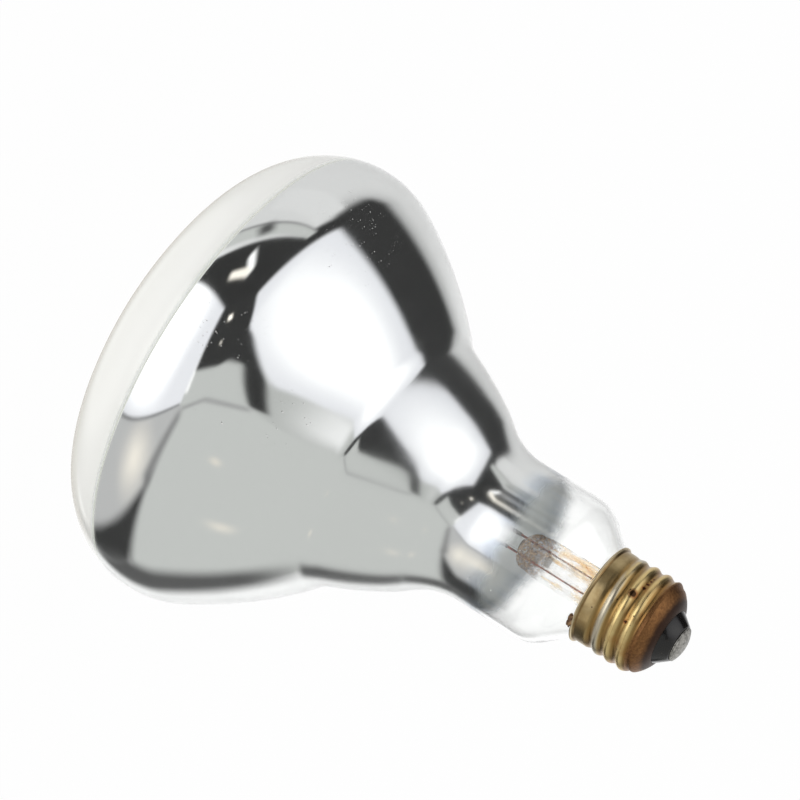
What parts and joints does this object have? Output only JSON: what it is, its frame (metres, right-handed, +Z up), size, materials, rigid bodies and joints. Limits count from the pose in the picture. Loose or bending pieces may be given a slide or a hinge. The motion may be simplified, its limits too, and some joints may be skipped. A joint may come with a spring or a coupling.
{
  "type": "heat lamp bulb",
  "caption": "Infrared reflector heat lamp bulb: frosted domed face, mirrored back and bulge, clear glass neck with stem and filament, and an aged brass medium screw base.",
  "frame": {"origin": "tip of the solder on the centre contact, on the lamp's axis", "axes": "+Z runs up the lamp's axis from the frosted face to the screw base; +X points at the side solder on the rim of the screw shell"},
  "size_m": [0.125, 0.125, 0.1646],
  "materials": {
    "envelope_glass": "clear at the neck, frosted inside the face",
    "mirror_film": "bright mirror film",
    "stem_glass": "clear, stained near the press",
    "copper_wire": "dull copper",
    "nickel_wire": "drawn wire",
    "filament_metal": "dark coiled wire",
    "shell_brass": "aged and tarnished",
    "cement": "matt",
    "insulator_glass": "gloss black",
    "solder": "dull grey, worn"
  },
  "bodies": {
    "root": {"envelope": "envelope_glass", "reflector_coating": "mirror_film", "stem": "stem_glass", "exhaust_tube": "stem_glass", "arbor": "stem_glass", "seal_wire_side": "copper_wire", "seal_wire_centre": "copper_wire", "inner_lead_side": "nickel_wire", "inner_lead_centre": "nickel_wire", "outer_lead_side": "copper_wire", "outer_lead_centre": "copper_wire", "filament": "filament_metal", "support_wire_1": "nickel_wire", "support_wire_2": "nickel_wire", "support_wire_3": "nickel_wire", "base_shell": "shell_brass", "basing_cement": "cement", "base_insulator": "insulator_glass", "centre_contact": "shell_brass", "tip_solder": "solder", "side_solder": "solder"}
  },
  "joints": []
}
